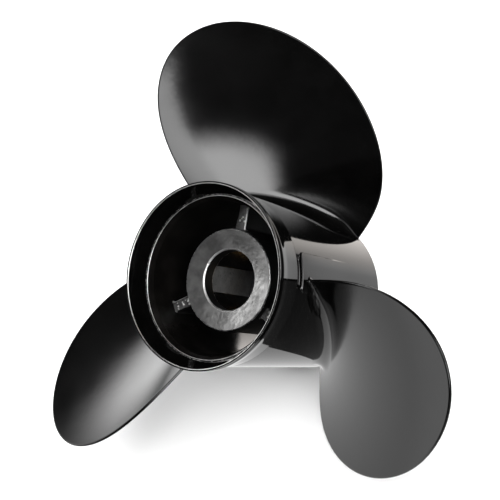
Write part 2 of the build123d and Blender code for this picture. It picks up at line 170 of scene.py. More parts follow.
def make(name, verts, faces, materials, replaced, normals=None, face_materials=None):
    """A smooth mesh piece riding on the propeller, in place of a CAD piece."""
    faces = outward(verts, faces)
    mesh = bpy.data.meshes.new(name)
    mesh.from_pydata((verts * MM).tolist(), [], [list(face) for face in faces])
    mesh.polygons.foreach_set("use_smooth", [True] * len(mesh.polygons))
    for material in materials:
        mesh.materials.append(material)
    if face_materials is not None:
        mesh.polygons.foreach_set("material_index", [int(index) for index in face_materials])
    mesh.update()
    if normals is None:
        normals = vertex_normals(verts, faces)
    mesh.normals_split_custom_set_from_vertices(normals.tolist())
    piece = bpy.data.objects.new(name, mesh)
    SCENE.collection.objects.link(piece)
    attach(piece, "propeller")
    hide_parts(replaced)


def rounded(points, step):
    """Sample a closed profile of (radius, station, corner radius) points.

    Returns rows of radius, station and outward normal. step(start, end) is the longest
    stretch left undivided on the straight between two corners.
    """
    arc_segments = 7              # for a quarter turn
    points = np.array(points, float)
    corners, corner_radii = points[:, :2], points[:, 2]
    count = len(corners)
    area = sum(corners[i - 1][0] * corners[i][1] - corners[i - 1][1] * corners[i][0]
               for i in range(count))
    sense = 1.0 if area > 0 else -1.0
    samples = []
    for i in range(count):
        corner = corners[i]
        dir_in, dir_out = corner - corners[i - 1], corners[(i + 1) % count] - corner
        len_in, len_out = np.linalg.norm(dir_in), np.linalg.norm(dir_out)
        dir_in, dir_out = dir_in / len_in, dir_out / len_out
        normal_in = sense * np.array([dir_in[1], -dir_in[0]])
        normal_out = sense * np.array([dir_out[1], -dir_out[0]])
        turn = math.atan2(dir_in[0] * dir_out[1] - dir_in[1] * dir_out[0], dir_in @ dir_out)
        if abs(turn) < math.radians(6) or corner_radii[i] == 0:
            arc = [(*corner, *unit(normal_in + normal_out))]
        else:
            half_tan = math.tan(abs(turn) / 2)
            setback = min(corner_radii[i] * half_tan, 0.48 * len_in, 0.48 * len_out)
            radius = setback / half_tan
            side = 1.0 if turn * sense > 0 else -1.0       # convex or concave
            centre = corner - dir_in * setback - side * radius * normal_in
            segments = max(2, int(math.ceil(arc_segments * abs(turn) / (math.pi / 2))))
            arc = []
            for j in range(segments + 1):
                cos, sin = math.cos(turn * j / segments), math.sin(turn * j / segments)
                normal = np.array([normal_in[0] * cos - normal_in[1] * sin,
                                   normal_in[0] * sin + normal_in[1] * cos])
                arc.append((*(centre + side * radius * normal), *normal))
        if samples:
            start, end = np.array(samples[-1][:2]), np.array(arc[0][:2])
            divisions = int(np.linalg.norm(end - start) // step(start, end))
            for j in range(1, divisions + 1):
                samples.append((*(start + (end - start) * j / (divisions + 1)), *normal_in))
        samples += arc
    return np.array(samples)


def ring_vertices(radius, station, angles):
    """Vertices from (profile, angle) grids of radius and station."""
    theta = np.radians(angles)[None, :]
    grid = np.stack([radius * np.sin(theta), station - ORIGIN_STATION, radius * np.cos(theta)], -1)
    return grid.reshape(-1, 3)


def lathe(profile, angles, shape):
    """Turn a rounded() profile through angles.

    shape(radius, station, angle, normal_radius) returns changed radius and station grids.
    The normals are the profile's own plus the change that shape makes.
    """
    rows, columns = len(profile), len(angles)
    radius = np.repeat(profile[:, 0:1], columns, 1)
    station = np.repeat(profile[:, 1:2], columns, 1)
    normal_radius, normal_y = profile[:, 2:3], profile[:, 3:4]
    theta = np.radians(angles)[None, :]
    normals = np.stack([normal_radius * np.sin(theta), np.broadcast_to(normal_y, (rows, columns)),
                        normal_radius * np.cos(theta)], -1).reshape(-1, 3)
    index = np.arange(rows * columns).reshape(rows, columns)
    below = np.roll(index, -1, 0)
    quads = np.stack([index, below, np.roll(below, -1, 1), np.roll(index, -1, 1)], -1)
    faces = [tuple(quad) for quad in quads.reshape(-1, 4).tolist()]
    plain = ring_vertices(radius, station, angles)
    faces = outward(plain, faces)
    angle_grid = np.broadcast_to(angles[None, :], (rows, columns))
    verts = ring_vertices(*shape(radius, station, angle_grid, normal_radius), angles)
    normals = normals + vertex_normals(verts, faces) - vertex_normals(plain, faces)
    return verts, faces, unit(normals)


def bands(profile, columns, materials, pick):
    """Material index of every lathe face; pick(radius, station) gives a band's material."""
    indices = []
    for here, following in zip(profile, np.roll(profile, -1, 0)):
        material = pick((here[0] + following[0]) / 2, (here[1] + following[1]) / 2)
        indices += [materials.index(material)] * columns
    return indices


# ------------------------------------------------------------------ barrel surface
RING_SEAM, BARREL_AFT, BARREL_FORE = 25.2, 12.7, 140.5      # stations
R_AFT, R_FORE = 57.0, 55.3        # outer radius at the ring seam and at the fore end
BARREL_SLOPE = (R_FORE - R_AFT) / (BARREL_FORE - RING_SEAM)
# a raised pad 1 mm high, beside blade 2
PAD_ANGLES = (71.5, 97.0)
PAD_STATIONS = (30.4, 93.0)
PAD_RUNOUT = 20.0                 # extra length where the pad runs out forward into the barrel
PAD_CORNER = 2.6
PAD_EDGE = 0.95                   # width of the pad's soft edge
RELIEF_BLEND = 0.4


def outer_radius(station):
    return R_AFT + (R_FORE - R_AFT) * (station - RING_SEAM) / (BARREL_FORE - RING_SEAM)


def relief_curve():
    """Station and radius of the coved relief between the ring and the pad."""
    start_radius, cove_station, cove_radius, lip_radius = 54.9, 29.3, 0.75, 0.35
    slope, steep = math.radians(6), math.radians(86)
    radius = start_radius + (cove_station - RING_SEAM) * math.tan(slope)
    cove = np.radians(np.linspace(6, 86, 24))[1:]
    cove_s = cove_station + cove_radius * (np.sin(cove) - math.sin(slope))
    cove_r = radius + cove_radius * (math.cos(slope) - np.cos(cove))
    wall_s, wall_r = cove_s[-1] + 0.10, cove_r[-1] + 1.25
    lip = np.radians(np.linspace(86, 0, 10))[1:]
    lip_s = wall_s + lip_radius * (math.sin(steep) - np.sin(lip))
    lip_r = wall_r + lip_radius * (np.cos(lip) - math.cos(steep))
    return (np.concatenate([[RING_SEAM, cove_station], cove_s, [wall_s], lip_s]),
            np.concatenate([[start_radius, radius], cove_r, [wall_r], lip_r]))


RELIEF_S, RELIEF_R = relief_curve()


def surface_radius(angle, station):
    """Radius of the barrel's outside, with the pad and the relief."""
    angle = np.mod(angle, 360.0)
    base = outer_radius(np.clip(station, RING_SEAM, BARREL_FORE))
    pad_length = PAD_STATIONS[1] - PAD_STATIONS[0]
    rise = 1.0 - smooth((station - PAD_STATIONS[0] - 4.0) / (pad_length + 2.0))
    # distance to a rounded rectangle on the unrolled surface
    across = np.radians(angle - sum(PAD_ANGLES) / 2) * base
    along_pad = station - (sum(PAD_STATIONS) + PAD_RUNOUT) / 2
    half_width = math.radians(PAD_ANGLES[1] - PAD_ANGLES[0]) / 2 * 56.5
    half_length = (pad_length + PAD_RUNOUT) / 2
    over_x = np.abs(across) - half_width + PAD_CORNER
    over_y = np.abs(along_pad) - half_length + PAD_CORNER
    distance = (np.hypot(np.maximum(over_x, 0), np.maximum(over_y, 0))
                + np.minimum(np.maximum(over_x, over_y), 0) - PAD_CORNER)
    radius = base + rise * smooth(0.5 - distance / PAD_EDGE)
    weight = smooth((angle - 72.6) / 4.2) * smooth((95.5 - angle) / 3.5)
    relief = np.minimum(np.interp(station, RELIEF_S, RELIEF_R), base + rise)
    fade = smooth((RELIEF_S[-1] + RELIEF_BLEND - station) / RELIEF_BLEND)
    return radius + (relief - radius) * weight * fade


# ------------------------------------------------------------------ blade shape
# Blade 1 in plan, seen along the shaft: x across, height up from the shaft.
ROOT_RADIUS, TIP_RADIUS = 54.41, 174.625
FACE_SPAN = 120.92                # scales the radius in the face polynomial
# station of the aft face: coefficient, power of the angle in radians, power of the span
FACE = ((80.09, 0, 0), (72.90, 1, 0), (11.19, 1, 1), (-60.33, 0, 1),
        (12.50, 0, 2), (-4.29, 2, 0), (4.42, 2, 1), (-5.96, 1, 2))
# plan outline, a clamped cubic B-spline from the trailing root to the leading root
KNOTS = [0.0, 0.0, 0.0, 0.0, 0.150462, 0.27582, 0.34654, 0.414153,
         0.531708, 0.760738, 0.877956, 1.0, 1.0, 1.0, 1.0]
# its control points: x, height
CONTROLS = [(-21.5575, 36.0053), (-30.8125, 52.6079), (-48.5592, 80.8732), (-59.0884, 125.1242),
            (-48.3448, 157.1465), (-22.6517, 176.7951), (32.4708, 174.3583), (75.5067, 124.3670),
            (69.1775, 64.3244), (44.1027, 43.3191), (33.6284, 33.4693)]
EDGE_HALF_WIDTH = 0.95            # of the rounded edge strip
EDGE_THICKNESS = 2.0
EDGE_ROUNDNESS = 2.4              # 2 is an ellipse, more is squarer
TIP_MID_THICKNESS, ROOT_EXTRA_THICKNESS = 3.0, 9.5
FACE_COLUMNS, EDGE_SEGMENTS = 56, 8
FILLET_RADIUS, FILLET_STEPS = 8.0, 12
SPAN_ROWS = 120


def face_station(x, height):
    angle = np.arctan2(x, height)
    span = (np.hypot(x, height) - ROOT_RADIUS) / FACE_SPAN
    return sum(factor * angle ** power_a * span ** power_s for factor, power_a, power_s in FACE)


def outline(t):
    """Plan x and height of the outline for t in 0..1."""
    t = np.clip(np.asarray(t, float), 0, 1 - 1e-12)
    basis = [np.where((t >= low) & (t < high), 1.0, 0.0) for low, high in zip(KNOTS, KNOTS[1:])]
    for degree in range(1, 4):
        raised = []
        for i in range(len(KNOTS) - 1 - degree):
            first, second = KNOTS[i], KNOTS[i + 1]
            width, next_width = KNOTS[i + degree] - first, KNOTS[i + degree + 1] - second
            rise = (t - first) / width * basis[i] if width > 0 else 0 * t
            fall = ((KNOTS[i + degree + 1] - t) / next_width * basis[i + 1]
                    if next_width > 0 else 0 * t)
            raised.append(rise + fall)
        basis = raised
    return tuple(sum(control[axis] * weight for control, weight in zip(CONTROLS, basis))
                 for axis in (0, 1))


def on_face(x, height):
    return np.stack([x, face_station(x, height) - ORIGIN_STATION, height], -1)


def face_normal(x, height):
    """Unit normal of the aft face towards +Y, into the blade."""
    delta = 0.02
    along_x = on_face(x + delta, height) - on_face(x - delta, height)
    along_height = on_face(x, height + delta) - on_face(x, height - delta)
    normal = unit(np.cross(along_height, along_x))
    return np.where(normal[..., 1:2] < 0, -normal, normal)


def edge_table(root_t, tip_t):
    """One edge from root to tip by arc length.

    Rows: span 0..1, x and height of the line inset from the edge, outward direction x, y, z.
    """
    count = 1600
    t = np.linspace(root_t, tip_t, count)
    x, height = outline(t)
    length = np.concatenate([[0], np.cumsum(np.hypot(np.diff(x), np.diff(height)))])
    fraction = length / length[-1]
    span = np.linspace(0, 1, count)
    x, height, t = (np.interp(span, fraction, values) for values in (x, height, t))
    delta = 1e-4
    tangent = unit(on_face(*outline(np.clip(t + delta, 0, 1)))
                   - on_face(*outline(np.clip(t - delta, 0, 1))))
    out_dir = unit(np.cross(tangent, face_normal(x, height)))
    from_middle = np.stack([x - 5.0, height * 0, height - 110.0], -1)
    out_dir *= np.sign((out_dir * from_middle).sum(1).mean())
    inset = on_face(x, height) - out_dir * EDGE_HALF_WIDTH
    return np.vstack([span, inset[:, 0], inset[:, 2], out_dir.T])


def edge_tables():
    """Trailing and leading edge, parted at the outline's farthest point from the shaft."""
    t = np.linspace(0.3, 0.6, 3001)
    tip_t = float(t[np.argmax(np.hypot(*outline(t)))])
    return edge_table(0, tip_t), edge_table(1, tip_t)


TRAILING, LEADING = edge_tables()


def along(edge, span, *rows):
    return [np.interp(span, edge[0], edge[row]) for row in rows]


def thickness(across, height, chord):
    outboard = np.clip((height - ROOT_RADIUS) / (TIP_RADIUS - ROOT_RADIUS), 0, 1)
    middle = TIP_MID_THICKNESS + ROOT_EXTRA_THICKNESS * (1 - outboard) ** 1.35
    bulge = (4 * across * (1 - across)) * smooth(chord / 60.0)
    return EDGE_THICKNESS + (middle - EDGE_THICKNESS) * bulge


def blade_loop():
    """Side and parameter of each point round the blade section.

    The parameter is 0..1 from trailing to leading on the faces, and an angle on the edges.
    The order is aft face, leading edge, fore face, trailing edge.
    """
    cos = np.cos(np.pi * np.arange(FACE_COLUMNS + 1) / FACE_COLUMNS)
    across = 0.5 - 0.5 * cos * (0.82 + 0.18 * cos ** 2)
    across[0], across[-1] = 0.0, 1.0
    edge = [math.pi * (k / EDGE_SEGMENTS - 0.5) for k in range(1, EDGE_SEGMENTS)]
    sides = (["aft"] * len(across) + ["leading"] * len(edge)
             + ["fore"] * len(across) + ["trailing"] * len(edge))
    parameters = [*across, *edge, *across[::-1], *(-angle for angle in edge)]
    return np.array(sides), np.array(parameters)


LOOP_SIDE, LOOP_PARAMETER = blade_loop()
LOOP = len(LOOP_SIDE)
# share of the full fillet radius: small round the edges, full along the faces
TO_EDGE = np.where((LOOP_SIDE == "aft") | (LOOP_SIDE == "fore"),
                   np.minimum(LOOP_PARAMETER, 1 - LOOP_PARAMETER), 0.0)
FILLET_SHARE = 0.24 + 0.76 * smooth(TO_EDGE / 0.26)


def loop_points(span):
    """Every point of the section loop, each at its own span value."""
    trail_x, trail_height = along(TRAILING, span, 1, 2)
    lead_x, lead_height = along(LEADING, span, 1, 2)
    chord = np.hypot(lead_x - trail_x, lead_height - trail_height)
    across = np.where(LOOP_SIDE == "leading", 1.0,
                      np.where(LOOP_SIDE == "trailing", 0.0, LOOP_PARAMETER))
    x = trail_x + (lead_x - trail_x) * across
    height = trail_height + (lead_height - trail_height) * across
    aft = on_face(x, height)
    through = face_normal(x, height) * thickness(across, height, chord)[:, None]
    points = aft.copy()
    fore = LOOP_SIDE == "fore"
    points[fore] = (aft + through)[fore]
    power = 2 / EDGE_ROUNDNESS
    for side, edge in (("trailing", TRAILING), ("leading", LEADING)):
        mask = LOOP_SIDE == side
        out_dir = unit(np.stack(along(edge, span[mask], 3, 4, 5), -1))
        angle = LOOP_PARAMETER[mask]
        cos = (np.cos(angle) ** power)[:, None]
        sin = (np.sign(np.sin(angle)) * np.abs(np.sin(angle)) ** power)[:, None]
        points[mask] = (aft[mask] + through[mask] * 0.5 * (1 + sin)
                        + out_dir * EDGE_HALF_WIDTH * cos)
    return points


def above_barrel(points, turn):
    """Height over the barrel surface once the blade is turned to its place."""
    placed = turned(points, turn)
    angle = np.degrees(np.arctan2(placed[:, 0], placed[:, 2]))
    station = np.clip(placed[:, 1] + ORIGIN_STATION, RING_SEAM, BARREL_FORE)
    return np.hypot(placed[:, 0], placed[:, 2]) - surface_radius(angle, station)


def blade_mesh(turn):
    """Vertices, faces and normals of one blade with its root fillet."""
    # where the bare blade meets the barrel
    root_span = bisect(np.zeros(LOOP), np.full(LOOP, 0.45),
                       lambda span: above_barrel(loop_points(span), turn) > 0)
    root = loop_points(root_span)
    up = radial(root)
    spanwise = unit(loop_points(root_span + 0.004) - root)
    round_loop = unit(np.roll(root, -1, 0) - np.roll(root, 1, 0))
    side = unit(np.cross(round_loop, spanwise))
    if ((root - root.mean(0)) * side).sum() < 0:
        side = -side
    # direction away from the blade along the barrel, and the reach of the fillet
    away = unit(blurred(side - up * (side * up).sum(1, keepdims=True), passes=3))
    opening = np.arccos(np.clip((away * spanwise).sum(1), -1, 1))
    reach = np.clip(FILLET_RADIUS * FILLET_SHARE / np.tan(opening / 2), 0.8, 17.0)
    reach = blurred(reach, passes=4)
    # the fillet's top, on the blade
    top_span = bisect(root_span, root_span + 0.35,
                      lambda span: np.linalg.norm(loop_points(span) - root, axis=1) > reach)
    top = loop_points(top_span)
    top_dir = unit(loop_points(top_span + 0.002) - loop_points(top_span - 0.002))
    # the fillet's foot, on the barrel
    foot = root + away * reach[:, None]
    foot[:, 1] = np.clip(foot[:, 1], RING_SEAM - ORIGIN_STATION + 0.5,
                         BARREL_FORE - ORIGIN_STATION - 1.5)
    for _ in range(12):
        up = radial(foot)
        foot = foot - up * above_barrel(foot, turn)[:, None]
    foot_dir = root - foot
    foot_dir = unit(foot_dir - up * (foot_dir * up).sum(1, keepdims=True), least=1e-9)
    handle = reach[:, None] * 0.56

    # rows from the tip down to the fillet, the fillet as Bezier curves, a skirt into the barrel
    rows = [loop_points(top_span + (1 - top_span) * q) for q in np.linspace(1, 0, SPAN_ROWS + 1)]
    for j in range(1, FILLET_STEPS + 1):
        t = j / FILLET_STEPS
        rows.append((1 - t) ** 3 * top + 3 * (1 - t) ** 2 * t * (top - top_dir * handle)
                    + 3 * (1 - t) * t * t * (foot + foot_dir * handle) + t ** 3 * foot)
    rows.append(foot - up * 1.0)
    faces = loft_faces(len(rows), LOOP)

    # close the bottom, inside the barrel wall
    base = (len(rows) - 1) * LOOP
    last_fore = 2 * FACE_COLUMNS + EDGE_SEGMENTS
    for j in range(FACE_COLUMNS):
        faces.append((base + j, base + j + 1, base + last_fore - j - 1, base + last_fore - j))
    leading_fan = list(range(FACE_COLUMNS, FACE_COLUMNS + EDGE_SEGMENTS + 1))
    trailing_fan = list(range(last_fore, LOOP)) + [0]
    for fan in (leading_fan, trailing_fan):
        for j in range(1, len(fan) - 1):
            faces.append((base + fan[0], base + fan[j + 1], base + fan[j]))

    verts, faces, new_index = weld(turned(np.concatenate(rows), turn), faces)
    faces = outward(verts, faces)
    normals = vertex_normals(verts, faces)
    # the foot takes the barrel's normals, so the fillet runs out without a crease
    barrel_normal = up.copy()
    barrel_normal[:, 1] = -BARREL_SLOPE
    normals[new_index[base - LOOP:base]] = turned(unit(barrel_normal), turn)
    return verts, faces, normals


# ------------------------------------------------------------------ shader nodes
MIDDLE = (0.3, 0.7)               # the usual range of a noise texture


class Nodes:
    """Short ways to add and link nodes in one tree."""

    def __init__(self, tree):
        self.tree = tree

    def add(self, kind, **props):
        node = self.tree.nodes.new(kind)
        for name, value in props.items():
            setattr(node, name, value)
        return node

    def put(self, socket, value):
        """Link a socket to an input, or set the input to a plain value."""
        if isinstance(value, bpy.types.NodeSocket):
            self.tree.links.new(value, socket)
        else:
            socket.default_value = value

    def calc(self, operation, *values):
        node = self.add("ShaderNodeMath", operation=operation)
        for i, value in enumerate(values):
            self.put(node.inputs[i], value)
        return node.outputs[0]

    def ramp(self, value, span, to=(0.0, 1.0)):
        """Smooth step of value over span, mapped to the two ends of to."""
        node = self.add("ShaderNodeMapRange", interpolation_type="SMOOTHSTEP")
        self.put(node.inputs["Value"], value)
        for name, limit in zip(("From Min", "From Max", "To Min", "To Max"), (*span, *to)):
            self.put(node.inputs[name], limit)
        return node.outputs[0]

    def noise(self, vector, scale, detail=2.0, rough=0.5, distortion=0.0):
        node = self.add("ShaderNodeTexNoise")
        for name, value in (("Vector", vector), ("Scale", scale), ("Detail", detail),
                            ("Roughness", rough), ("Distortion", distortion)):
            self.put(node.inputs[name], value)
        return node.outputs[0]

    def mix(self, factor, first, second):
        node = self.add("ShaderNodeMix", data_type="RGBA")
        self.put(node.inputs[0], factor)
        self.put(node.inputs[6], first)
        self.put(node.inputs[7], second)
        return node.outputs[2]

    def tint(self, tone, factors):
        """Colour from one tone and a factor for each channel."""
        node = self.add("ShaderNodeCombineColor")
        for i, factor in enumerate(factors):
            self.put(node.inputs[i], self.calc("MULTIPLY", tone, factor))
        return node.outputs[0]

    def bevel(self, radius):
        node = self.add("ShaderNodeBevel", samples=4)
        node.inputs["Radius"].default_value = radius
        return node.outputs[0]

    def bump(self, height, strength, distance, normal=None):
        node = self.add("ShaderNodeBump")
        node.inputs["Strength"].default_value = strength
        node.inputs["Distance"].default_value = distance
        self.put(node.inputs["Height"], height)
        if normal is not None:
            self.put(node.inputs["Normal"], normal)
        return node.outputs[0]


def new_material(name):
    """Material, inputs of its Principled shader, node helper and object coordinates."""
    material = bpy.data.materials.new(name)
    material.use_nodes = True
    shader = material.node_tree.nodes["Principled BSDF"]
    nodes = Nodes(material.node_tree)
    return material, shader.inputs, nodes, nodes.add("ShaderNodeTexCoord").outputs["Object"]


def grey(tone):
    return (tone, tone, tone, 1)


# ------------------------------------------------------------------ materials


def enamel(name, rough, peel, base=0.0013, cast=0.0, specular=0.5):
    """Gloss black enamel: orange peel, slow waviness, faint dust, cast texture in places."""
    material, shader, nodes, coords = new_material(name)
    slow = nodes.noise(coords, scale=22.0)
    fine = nodes.noise(coords, scale=430.0, rough=0.55)
    medium = nodes.noise(coords, scale=150.0)
    dust = nodes.ramp(nodes.noise(coords, scale=1900.0, detail=1.0), span=(0.70, 0.80))
    patch = nodes.noise(coords, scale=60.0, detail=3.0, rough=0.6)
    tone = nodes.ramp(patch, MIDDLE, to=(base * 0.75, base * 1.4))
    paint = nodes.tint(tone, factors=(1.0, 0.985, 0.97))
    dust_share = nodes.calc("MULTIPLY", dust, 0.02)
    nodes.put(shader["Base Color"], nodes.mix(dust_share, paint, (0.35, 0.34, 0.33, 1)))
    gloss = nodes.ramp(slow, MIDDLE, to=(rough * 0.8, rough * 1.25))
    dust_rough = nodes.calc("MULTIPLY", dust, 0.08)
    nodes.put(shader["Roughness"], nodes.calc("ADD", gloss, dust_rough))
    nodes.put(shader["IOR"], 1.5)
    nodes.put(shader["Specular IOR Level"], specular)
    normal = nodes.bump(fine, strength=0.10 * peel, distance=0.0004)
    normal = nodes.bump(medium, strength=0.12 * peel, distance=0.0006, normal=normal)
    if cast > 0:
        spot = nodes.ramp(nodes.noise(coords, scale=14.0), span=(0.55, 0.72))
        wrinkle = nodes.noise(coords, scale=210.0, detail=3.0, rough=0.6, distortion=0.6)
        height = nodes.calc("MULTIPLY", wrinkle, spot)
        normal = nodes.bump(height, strength=cast, distance=0.0006, normal=normal)
    nodes.put(shader["Normal"], normal)
    return material


def dull_bore(name):
    """Thin, dry black coat on the as-cast inside, glossier only low down where it pooled."""
    material, shader, nodes, coords = new_material(name)
    grain = nodes.noise(coords, scale=240.0, detail=4.0, rough=0.6)
    patch = nodes.noise(coords, scale=60.0, detail=3.0, rough=0.6)
    nodes.put(shader["Base Color"], nodes.mix(
        nodes.ramp(patch, MIDDLE), (0.0010, 0.0009, 0.0008, 1), (0.0028, 0.0025, 0.0023, 1)))
    axes = nodes.add("ShaderNodeSeparateXYZ")
    nodes.put(axes.inputs[0], coords)
    level = nodes.calc("ADD", axes.outputs[2], nodes.calc("MULTIPLY", patch, 0.012))
    pooled = nodes.ramp(level, span=(-0.012, -0.030))
    # gloss rises and roughness falls where the paint pooled: factor, then offset
    nodes.put(shader["Specular IOR Level"], nodes.calc("MULTIPLY_ADD", pooled, 0.42, 0.02))
    nodes.put(shader["Roughness"], nodes.calc("MULTIPLY_ADD", pooled, -0.5, 0.68))
    nodes.put(shader["Normal"], nodes.bump(grain, strength=0.12, distance=0.0004))
    return material


def worn(name, span, floor, rough, tone, scale):
    """Black enamel rubbed through to bare aluminium. The bare share runs from floor to 1."""
    material, shader, nodes, coords = new_material(name)
    bare = nodes.ramp(nodes.noise(coords, scale=scale, detail=3.0, rough=0.6), span, (floor, 1.0))
    scratch = nodes.noise(coords, scale=700.0, rough=0.6)
    metal = (tone, tone * 0.995, tone * 0.985, 1)
    nodes.put(shader["Base Color"], nodes.mix(bare, grey(0.0015), metal))
    nodes.put(shader["Metallic"], bare)
    nodes.put(shader["Roughness"], nodes.ramp(scratch, MIDDLE, to=(rough * 0.8, rough * 1.25)))
    nodes.put(shader["Normal"], nodes.bump(scratch, strength=0.10, distance=0.0003))
    return material


def casting(name, tones, metal, rough, speckle=0.65):
    """As-cast aluminium under a thin, uneven coat of black, with overspray speckle."""
    material, shader, nodes, coords = new_material(name)
    grain = nodes.noise(coords, scale=260.0, detail=4.0, rough=0.65)
    fine = nodes.noise(coords, scale=900.0, rough=0.6)
    patch = nodes.noise(coords, scale=70.0, detail=3.0, rough=0.6)
    speck = nodes.ramp(fine, span=(0.60, 0.68))
    tone = nodes.ramp(patch, span=(0.3, 0.72), to=tones)
    speck_tone = nodes.ramp(speck, span=(0.0, 1.0), to=(1.0, 1.0 - speckle))
    tone = nodes.calc("MULTIPLY", tone, speck_tone)
    nodes.put(shader["Base Color"], nodes.tint(tone, factors=(1.0, 0.995, 0.985)))
    nodes.put(shader["Metallic"], metal)
    nodes.put(shader["Roughness"], nodes.ramp(grain, MIDDLE, to=(rough * 0.85, rough * 1.2)))
    normal = nodes.bump(grain, strength=0.22, distance=0.0006)
    normal = nodes.bump(fine, strength=0.12, distance=0.0003, normal=normal)
    nodes.put(shader["Normal"], normal)
    return material


def polymer(name):
    material, shader, nodes, coords = new_material(name)
    patch = nodes.noise(coords, scale=120.0, detail=3.0, rough=0.55)
    fine = nodes.noise(coords, scale=1400.0)
    nodes.put(shader["Base Color"], nodes.mix(
        nodes.ramp(patch, span=(0.35, 0.65)), (0.016, 0.016, 0.017, 1), (0.030, 0.030, 0.031, 1)))
    nodes.put(shader["Roughness"], nodes.ramp(patch, MIDDLE, to=(0.36, 0.52)))
    edges = nodes.bevel(radius=0.0004)
    nodes.put(shader["Normal"], nodes.bump(fine, strength=0.10, distance=0.0003, normal=edges))
    return material


def rubber(name):
    material, shader, nodes, coords = new_material(name)
    patch = nodes.noise(coords, scale=90.0, detail=4.0, rough=0.6)
    fine = nodes.noise(coords, scale=1100.0, detail=3.0, rough=0.6)
    nodes.put(shader["Base Color"], nodes.mix(
        nodes.ramp(patch, span=(0.35, 0.65)), grey(0.011), (0.024, 0.023, 0.022, 1)))
    nodes.put(shader["Roughness"], nodes.ramp(fine, MIDDLE, to=(0.62, 0.82)))
    nodes.put(shader["Sheen Weight"], 0.15)
    nodes.put(shader["Normal"], nodes.bump(fine, strength=0.3, distance=0.0003))
    return material


def brass(name):
    """Turned brass: fine turning marks round the shaft axis, patches of tarnish."""
    material, shader, nodes, coords = new_material(name)
    stretch = nodes.add("ShaderNodeMapping")
    nodes.put(stretch.inputs["Vector"], coords)
    nodes.put(stretch.inputs["Scale"], (6.0, 220.0, 6.0))
    marks = nodes.noise(stretch.outputs[0], scale=12.0, detail=3.0, rough=0.6)
    tarnish = nodes.noise(coords, scale=75.0, detail=4.0, rough=0.6)
    nodes.put(shader["Base Color"], nodes.mix(
        nodes.ramp(tarnish, span=(0.35, 0.7)), (0.52, 0.36, 0.15, 1), (0.30, 0.205, 0.09, 1)))
    nodes.put(shader["Metallic"], 1.0)
    nodes.put(shader["Roughness"], nodes.ramp(marks, MIDDLE, to=(0.20, 0.36)))
    edges = nodes.bevel(radius=0.0003)
    nodes.put(shader["Normal"], nodes.bump(marks, strength=0.15, distance=0.0002, normal=edges))
    return material


BLADE = enamel("enamel_blade", rough=0.135, peel=0.30, cast=0.16, base=0.0008)
BARREL = enamel("enamel_barrel", rough=0.06, peel=0.10, base=0.0007)
RING = enamel("enamel_ring", rough=0.055, peel=0.08, base=0.0007)
BORE = enamel("enamel_bore", rough=0.50, peel=1.2, base=0.0022, specular=0.22)
BARREL_INSIDE = dull_bore("enamel_barrel_inside")
CAST_FACE = casting("cast_face", tones=(0.24, 0.45), metal=0.95, rough=0.34, speckle=0.0)
CAVITY = casting("cast_cavity", tones=(0.07, 0.12), metal=0.25, rough=0.6)
# dark enamel for every second cavity flat: painted shade where those flats lie in shade
CAVITY_PAINTED_SHADE = enamel("enamel_cavity_painted_shade", rough=0.30, peel=0.8)
LIP = worn("worn_lip", span=(0.22, 0.50), floor=0.8, rough=0.40, tone=0.92, scale=260.0)
LIP_OUTER = worn("worn_lip_outer", span=(0.40, 0.70), floor=0.12, rough=0.36, tone=0.60,
                 scale=260.0)
SEAM = worn("fettled_seam", span=(0.50, 0.60), floor=0.0, rough=0.40, tone=0.50, scale=800.0)
RIM = worn("worn_rim", span=(0.20, 0.45), floor=0.75, rough=0.50, tone=0.90, scale=200.0)
HUB_EDGE = worn("worn_hub_edge", span=(0.22, 0.50), floor=0.75, rough=0.30, tone=0.85,
                scale=400.0)
POLYMER = polymer("moulded_polymer")
RUBBER = rubber("moulded_rubber")
BRASS = brass("turned_brass")
RIB_END = casting("cast_rib", tones=(0.12, 0.30), metal=0.9, rough=0.42, speckle=0.3)
# bare aluminium: wear on the raised marks, and a painted highlight along the plus-side edge of each
# rib end
RIB_WEAR_AND_HIGHLIGHT = worn("rib_wear_and_painted_highlight", span=(0.22, 0.50), floor=0.95, rough=0.56, tone=0.97,
                scale=500.0)

# ------------------------------------------------------------------ blades
for i, turn in enumerate(THIRDS):
    verts, faces, normals = blade_mesh(turn)
    make(f"blade_{i + 1}_skin", verts, faces, [BLADE], f"blade_{i + 1}", normals)

# ------------------------------------------------------------------ barrel
# closest where the sides of the pad and the relief run
BARREL_ANGLES = aranges((0, 66, 1.25), (66, 70.5, 0.5), (70.5, 77.5, 0.11), (77.5, 91.5, 0.7),
                        (91.5, 98.2, 0.12), (98.2, 103, 0.6), (103, 360, 1.25))
OUTER_STATIONS = aranges((RING_SEAM + 0.12, 28.8, 0.55), (28.8, 31.6, 0.045),
                         (31.6, 34.0, 0.2), (34.0, 139.0, 1.6))
# radius, station, corner radius
BARREL_POINTS = [
    (54.7, RING_SEAM, 0.05),
    *((outer_radius(station), station, 0) for station in OUTER_STATIONS),
    (R_FORE, BARREL_FORE, 0.9), (51.2, BARREL_FORE, 0.5), (51.2, 130.0, 0.6), (49.6, 130.0, 0.3),
    (49.6, 60.0, 0), (50.6, 16.7, 0.8), (52.8, BARREL_AFT, 0.4), (54.7, BARREL_AFT, 0.3)]


